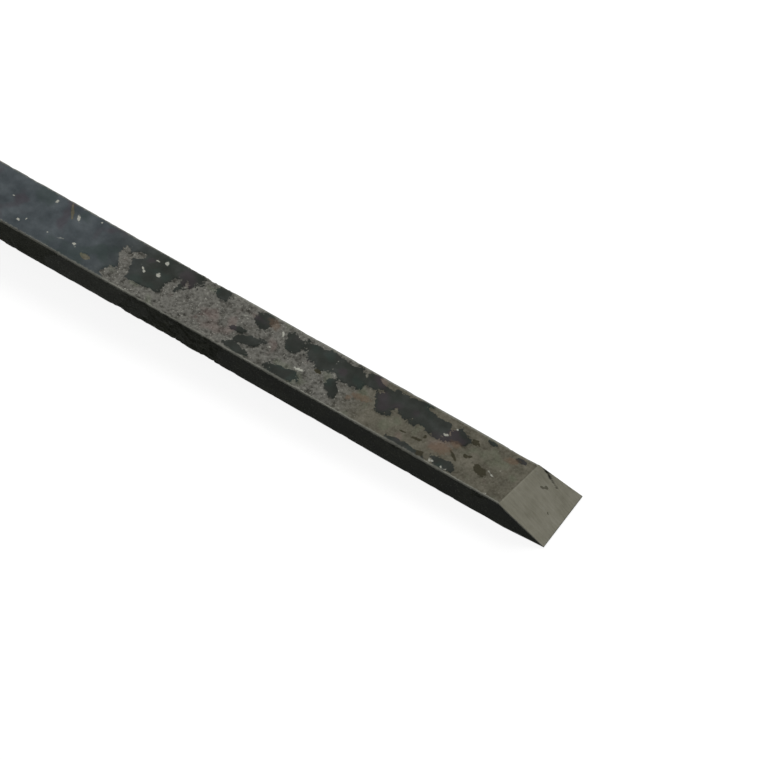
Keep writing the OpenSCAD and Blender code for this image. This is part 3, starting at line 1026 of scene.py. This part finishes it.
ferrule_front, ferrule_back = HANDLE_X, HANDLE_X - FERRULE_LENGTH
ferrule = turned_piece("ferrule_tube", [
    (ferrule_front, FERRULE_BORE_R), (ferrule_front, FERRULE_R - 0.1), (ferrule_front - 0.6, FERRULE_R),
    (ferrule_back + 0.3, FERRULE_R), (ferrule_back, FERRULE_R - 0.2), (ferrule_back, FERRULE_BORE_R)],
    radius=0.35, step=0.35, columns=288,
    worn_corners=[(ferrule_front, FERRULE_R), (ferrule_back, FERRULE_R)],
    batter=dict(depth=0.12, cell=6.0, seed=131, knocks=0.12), dimples=pin_dimples)
dressed(ferrule, blackened, "blackened_steel", "front_ferrule")


def pin_grid(side):
    """A low dome on a shank of radius 1: its height falls by the squared distance from the middle."""
    angle = around(40)
    dome = np.linspace(0.05, 1.0, 10)
    distance = np.concatenate([dome, [1.02, 1.02, 1.0, 0.5]])
    height = np.concatenate([0.12 - 0.22 * dome ** 2, [-0.3, -2.0, -4.9, -5.0]])
    out = FERRULE_R + height[:, None] + 0 * angle
    return np.stack([PIN_X + distance[:, None] * np.sin(angle) * side, side * out,
                     distance[:, None] * np.cos(angle)], -1)


pins = skin("pin_heads", np.stack([pin_grid(1), pin_grid(-1)]), {"wear": 0.5})
dressed(pins, bright, "bright_steel", "ferrule_pins")

# %% [markdown]
# ## The ash grip
# The grip is turned from straight-grained ash. Its side is two cosine eases that meet at the belly, with
# two turned lines behind the ferrule. Ash has open pores, so the years' rings can be felt as well as
# seen: the pattern that colours the wood also sinks its surface by up to a tenth of a millimetre.

# %% The grip's shape
NOSE_R = 10.9
BELLY_R, BELLY_AT = 17.25, 80.0
HEEL_R, HOOP_AT = 15.5, 120.0
HOOP_SEAT_R = 13.5
BORE_RIM_R = 8.0
BORE_ROWS = 10
BUTT_BORE = (3.75, 3.75)
LINES_AT = (21.5, 25.0)
PITH = (31.0, -22.0)
YEAR_RING = 2.3
DENT_DEPTH = 0.28


def grip_radius(behind):
    """Radius behind the grip's front: half a cosine wave up to the belly, and another down again."""
    def swell(start, stop):
        return (1 - np.cos(np.pi * np.clip((behind - start) / (stop - start), 0, 1))) / 2

    return (FERRULE_R + (BELLY_R - FERRULE_R) * swell(FERRULE_LENGTH, BELLY_AT)
            - (BELLY_R - HEEL_R) * swell(BELLY_AT, HOOP_AT))


def grip_rows():
    """Profile (distance behind the front, radius) of nose, grip, hoop seat and rear face."""
    fine = np.linspace(FERRULE_LENGTH + 0.05, 29.0, 76)
    rest = np.linspace(29.0, HOOP_AT - 0.05, 170)[1:]
    run = np.concatenate([fine, rest])
    radius = grip_radius(run)
    for line in LINES_AT:
        radius = radius - 0.5 * np.clip(1 - np.abs(run - line) / 0.55, 0, 1)
    radius = radius - 0.3 * (1 - ease(run, FERRULE_LENGTH, FERRULE_LENGTH + 0.5))
    radius = radius - 0.4 * ease(run, HOOP_AT - 0.8, HOOP_AT)
    behind = np.concatenate([[0, 0, 6, 12, FERRULE_LENGTH - 0.1], run,
                             [HOOP_AT, 125, GRIP_LENGTH - 0.1, GRIP_LENGTH, GRIP_LENGTH]])
    radius = np.concatenate([[BORE_RIM_R], [NOSE_R] * 4, radius,
                             [HOOP_SEAT_R] * 3, [HOOP_SEAT_R - 0.3, BORE_RIM_R]])
    return behind, radius


behind, radius = grip_rows()
angle = around(256)
share = np.linspace(1, 0, BORE_ROWS)[:, None]
half_y, half_z = (front + (butt - front) * share for front, butt in zip(TANG_HOLE, BUTT_BORE))
grip_grid = np.concatenate([turn(HANDLE_X - behind[:, None], radius[:, None] + 0 * angle, angle),
                            turn(HANDLE_X - GRIP_LENGTH * share, oblong(angle, half_y, half_z), angle)])


def year_rings(points):
    """0 to 1 over each year's growth: the distance from the pith, bent by slow hills, in ring widths."""
    bend = 2.2 * (rugged(points * [0.12, 1, 1], 9.0, 201, 2) - 0.5)
    distance = np.hypot(points[..., 1] - PITH[0], points[..., 2] - PITH[1]) + 0.025 * points[..., 0]
    return (distance + bend) / YEAR_RING % 1.0


porous = 1 - ease(year_rings(grip_grid), 0.0, 0.45)
streak = peaks(grip_grid * [0.05, 1, 1], 0.7, 211, 0.40, 0.75)
dent = peaks(grip_grid * [0.6, 1, 1], 7.0, 231, 0.76, 0.9)
relief = 0.10 * (rugged(grip_grid, 18.0, 221, 2) - 0.5 - porous * streak) - DENT_DEPTH * dent
in_bore = np.zeros(BORE_ROWS)
relief = relief * np.concatenate([np.ones(len(behind)), in_bore])[:, None]
grip_grid = grip_grid + relief[..., None] * normals_of(grip_grid, True)
# Darker in and beside the turned lines, and where the wood meets the ferrule and the hoop.
groove = np.min([np.abs(behind - at) for at in (*LINES_AT, FERRULE_LENGTH, HOOP_AT)], axis=0)
grime = np.concatenate([np.exp(-groove / 0.8), in_bore])[:, None]
grip = skin("ash_grip", grip_grid, {"grime": grime, "porous": porous, "dent": dent}, roll=True)

# %% [markdown]
# Each year's ring has porous brown early wood and pale late wood. Pores are short dark dashes along the
# grain, and hands have darkened the wood in patches. Drawing a noise out along the tool gives fibres
# and pores, while the rings, the dents and the darkening in and beside the lines come with the mesh.

# %% Ash wood


def ash_wood():
    """Pale late wood and brown porous early wood, dark pores along the grain, and darker wood in the
    lines.
    """
    f = Finish("ash_wood")
    place = f.in_tool_mm()
    slow = f.noise(f.stretch(place, (0.1, 1.0, 1.0)), 8.0, 3.0)
    fibres = f.noise(f.stretch(place, (0.03, 1.0, 1.0)), 0.45, 3.0, 0.6)
    pores = f.noise(f.stretch(place, (0.09, 1.0, 1.0)), 0.32, 1.0)
    handled = f.noise(place, 14.0, 3.0, 0.6)
    porous = f.worn("porous")
    late = f.ramp(slow * 0.5 + fibres * 0.5,
                  (0.34, 170, 128, 82), (0.52, 188, 146, 98), (0.68, 202, 163, 114))
    early = f.ramp(fibres, (0.35, 128, 88, 52), (0.65, 160, 116, 72))
    colour = f.mix(porous * 0.75, late, early)
    pore_mask = f.step(pores, 0.60, 0.70) * (0.25 + porous * 0.75)
    colour = f.mix(pore_mask * 0.7, colour, (84, 54, 32))
    colour = f.mix(f.step(handled, 0.50, 0.75) * 0.35, colour, (112, 74, 44))
    # Darker wood in and beside the turned lines.
    colour = f.mix(f.worn("grime") * 0.8, colour, (46, 32, 22))
    colour = f.mix(f.worn("dent") * 0.5, colour, (92, 62, 40))
    height = fibres * 0.4 - pore_mask * 0.8
    rough = 0.46 + porous * 0.12 - f.step(handled, 0.5, 0.75) * 0.08
    return f.done(base_color=colour, roughness=rough, coat_weight=0.12, coat_roughness=0.3,
                  normal=f.bump(height, 0.12))


dressed(grip, ash_wood(), "ash_wood", "handle")

# %% [markdown]
# ## Striking end
# A hoop holds the wood together under the mallet, and a thick plate takes the blow. Years of striking
# have dished the plate's rim and rolled the hoop's rear edge outwards a little. The tang's end is
# riveted over in the middle, and that head is part of the blade's own skin.

# %% Hoop and strike plate
HOOP_R = 16.0
PLATE_R = 14.0
PLATE_HOLE_R = 3.3
hoop_front, hoop_back = HANDLE_X - HOOP_AT, REAR_LEATHER_X
hoop = turned_piece("driven_hoop", [
    (hoop_front, HOOP_SEAT_R), (hoop_front, HOOP_R - 0.7), (hoop_front - 0.7, HOOP_R),
    (hoop_back + 2.2, HOOP_R - 0.05), (hoop_back + 0.8, HOOP_R + 0.12), (hoop_back, HOOP_R - 0.5),
    (hoop_back, HOOP_SEAT_R)],
    radius=0.4, step=0.35, columns=320,
    worn_corners=[(hoop_front - 0.4, HOOP_R - 0.3), (hoop_back + 0.5, HOOP_R)],
    batter=dict(depth=0.18, cell=4.0, seed=151, knocks=0.22))
dressed(hoop, blackened, "blackened_steel", "striking_hoop")

plate_back = PLATE_X - PLATE_THICK
plate = turned_piece("struck_plate", [
    (PLATE_X, PLATE_HOLE_R), (PLATE_X, PLATE_R - 0.2), (plate_back + 1.4, PLATE_R + 0.1),
    (plate_back + 0.35, PLATE_R - 0.9), (plate_back, PLATE_R - 2.2), (plate_back, RIVET_HEAD_R + 0.1),
    (plate_back + RIVET_HEAD_DEPTH, PLATE_HOLE_R)],
    radius=0.4, step=0.35, columns=320, worn_corners=[(plate_back + 1.2, PLATE_R), (plate_back, 7.5)],
    batter=dict(depth=0.3, cell=3.2, seed=161, knocks=0.25))
dressed(plate, struck, "worn_steel", "strike_plate")

# %% [markdown]
# ## Bench and light
# The floor is plain and pale. Rays that bounce off the tool see it as a mid grey, so it doesn't flood
# the shaded flank, while the camera and mirrors see it near white, with the tool's shadow kept. One big
# soft lamp stands high behind the tool. Its light slants over the top face and shows the flakes, and
# it leaves the near flank in shade, as in the photograph.

# %% Floor
FLOOR_HALF = 3.0
FLOOR_Z = -0.0002
FLOOR_GLOW = 0.88


def looks_white(look, plain, white):
    """Mixes two shaders: plain for rays that light the tool, white for the camera and for mirrors."""
    seen = 0.0
    for ray in ("Is Camera Ray", "Is Glossy Ray", "Is Transmission Ray"):
        this_ray = look.add("ShaderNodeLightPath", out=ray)
        seen = this_ray.math("MAXIMUM", seen, this_ray)
    return look.add("ShaderNodeMixShader", {}, {0: seen, 1: plain, 2: white})


def matt_grey(look, brightness):
    """A shader that gives back this share of the light, the same to all sides."""
    return look.add("ShaderNodeBsdfDiffuse", {}, {"Color": (brightness,) * 3 + (1,)})


floor_mesh = bpy.data.meshes.new("floor")
floor_mesh.from_pydata([(FLOOR_HALF * a, FLOOR_HALF * b, FLOOR_Z)
                        for a, b in ((-1, -1), (1, -1), (1, 1), (-1, 1))], [], [(0, 1, 2, 3)])
floor = put_in_scene("floor", floor_mesh)
pale = bpy.data.materials.new("pale_floor")
look = Look(pale)
glow = look.add("ShaderNodeEmission", {}, {"Strength": FLOOR_GLOW})
glowing = look.add("ShaderNodeAddShader", {}, {0: matt_grey(look, 0.2), 1: glow})
look.add("ShaderNodeOutputMaterial", {}, {
    "Surface": looks_white(look, matt_grey(look, 0.5), glowing)})
floor.data.materials.append(pale)
print("floor: %g m wide" % (2 * FLOOR_HALF))

# %% Lights


def softbox(name, direction, distance, size, watts):
    """A square lamp at that distance from the origin, which faces the origin."""
    lamp = put_in_scene(name, bpy.data.lights.new(name, "AREA"))
    lamp.data.shape = "SQUARE"
    lamp.data.size = size
    lamp.data.energy = watts
    towards = Vector(direction).normalized()
    lamp.location = towards * distance
    lamp.rotation_mode = "QUATERNION"
    lamp.rotation_quaternion = towards.to_track_quat("Z", "Y")
    print("%s: %g W from %g m" % (name, watts, distance))


softbox("key", direction=(-0.40, 0.62, 0.95), distance=1.4, size=0.9, watts=19.0)
softbox("fill", direction=(0.9, -0.8, 0.6), distance=1.8, size=1.2, watts=1.5)

# %% [markdown]
# The sky is plain white to the camera and to mirrors, so the picture's ground is white. As light it is
# dimmer, and the lamps still shape the bar.

# %% The sky
WORLD_LIGHT = 0.30
WHITE = (1, 1, 1, 1)
world = bpy.data.worlds.new("studio")
bpy.context.scene.world = world
look = Look(world)
ambient = look.add("ShaderNodeBackground", {}, {"Color": WHITE, "Strength": WORLD_LIGHT})
white = look.add("ShaderNodeBackground", {}, {"Color": WHITE})
look.add("ShaderNodeOutputWorld", {}, {"Surface": looks_white(look, ambient, white)})
bpy.context.scene.view_settings.view_transform = "Standard"
print("sky: white to the camera, %g of that as light" % WORLD_LIGHT)
